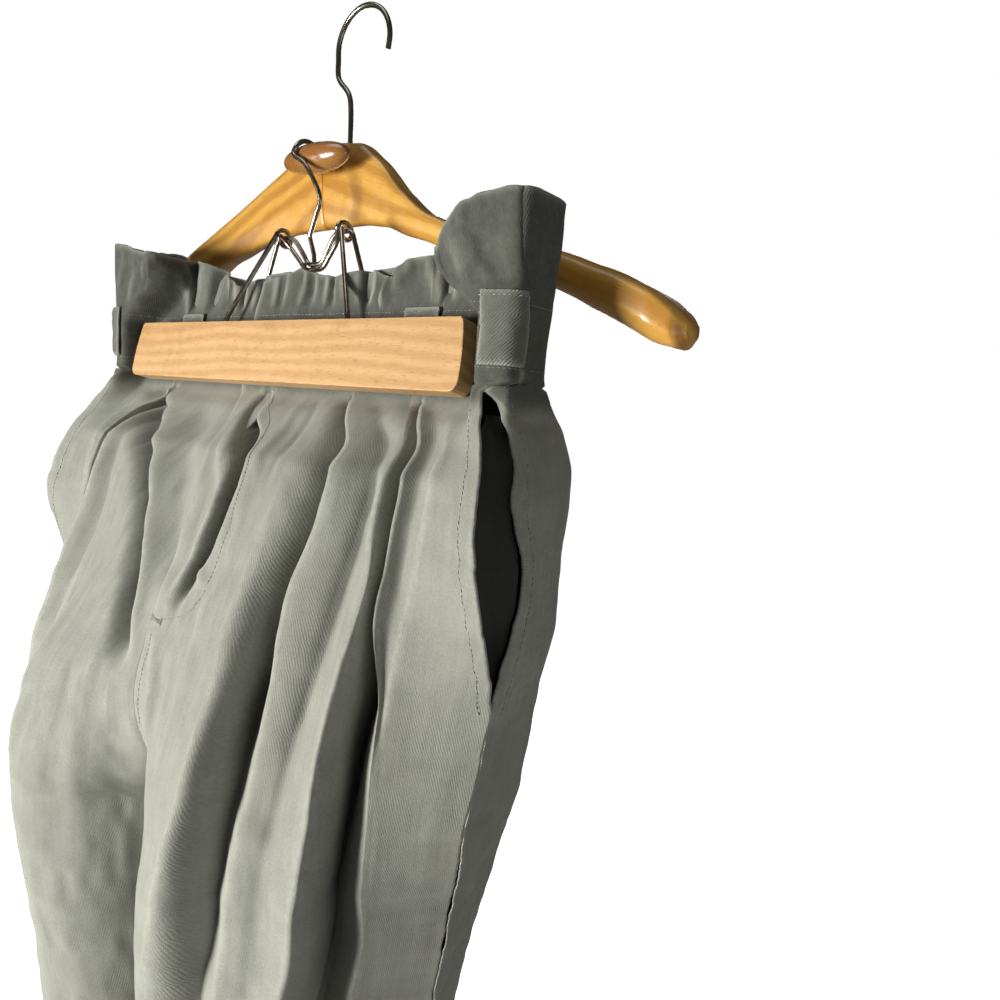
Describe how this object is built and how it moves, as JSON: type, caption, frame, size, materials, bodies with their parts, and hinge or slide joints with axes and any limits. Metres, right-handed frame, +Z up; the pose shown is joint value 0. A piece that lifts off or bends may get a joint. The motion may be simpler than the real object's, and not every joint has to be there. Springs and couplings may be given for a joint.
{
  "type": "paperbag waist trousers on clamp hanger and coat hanger",
  "caption": "High-waisted pleated trousers with a gathered paperbag frill, fly lap, belt loops and slant side pockets, gripped in a wooden clamp hanger that hangs from a wooden coat hanger.",
  "frame": {"origin": "under the top of the coat hanger's hook, where the whole thing hangs on a rod", "axes": "+X is the wearer's left, +Y is the back of the trousers, +Z is up"},
  "size_m": [0.529, 0.2097, 1.1757],
  "materials": {
    "twill": "soft grey-green cotton twill",
    "pocketing": "plain woven pocketing",
    "beech": "satin flecked beech",
    "varnished_beech": "gloss amber varnish",
    "turned_wood": "turned and varnished",
    "wire_steel": "drawn steel wire, darkened"
  },
  "bodies": {
    "root": {"front_left": "twill", "front_right": "twill", "back_left": "twill", "back_right": "twill", "side_loop_left": "twill", "side_loop_right": "twill", "front_loop_left": "twill", "front_loop_right": "twill", "back_loop": "twill", "pocket_bag_left": "pocketing", "pocket_bag_right": "pocketing", "clamp_bar_front": "beech", "clamp_bar_back": "beech", "clamp_bail_front": "wire_steel", "clamp_bail_back": "wire_steel", "clamp_hook": "wire_steel", "hanger_arm_left": "varnished_beech", "hanger_arm_right": "varnished_beech", "hanger_knob": "turned_wood", "hanger_peg": "turned_wood", "hanger_hook": "wire_steel"}
  },
  "joints": []
}
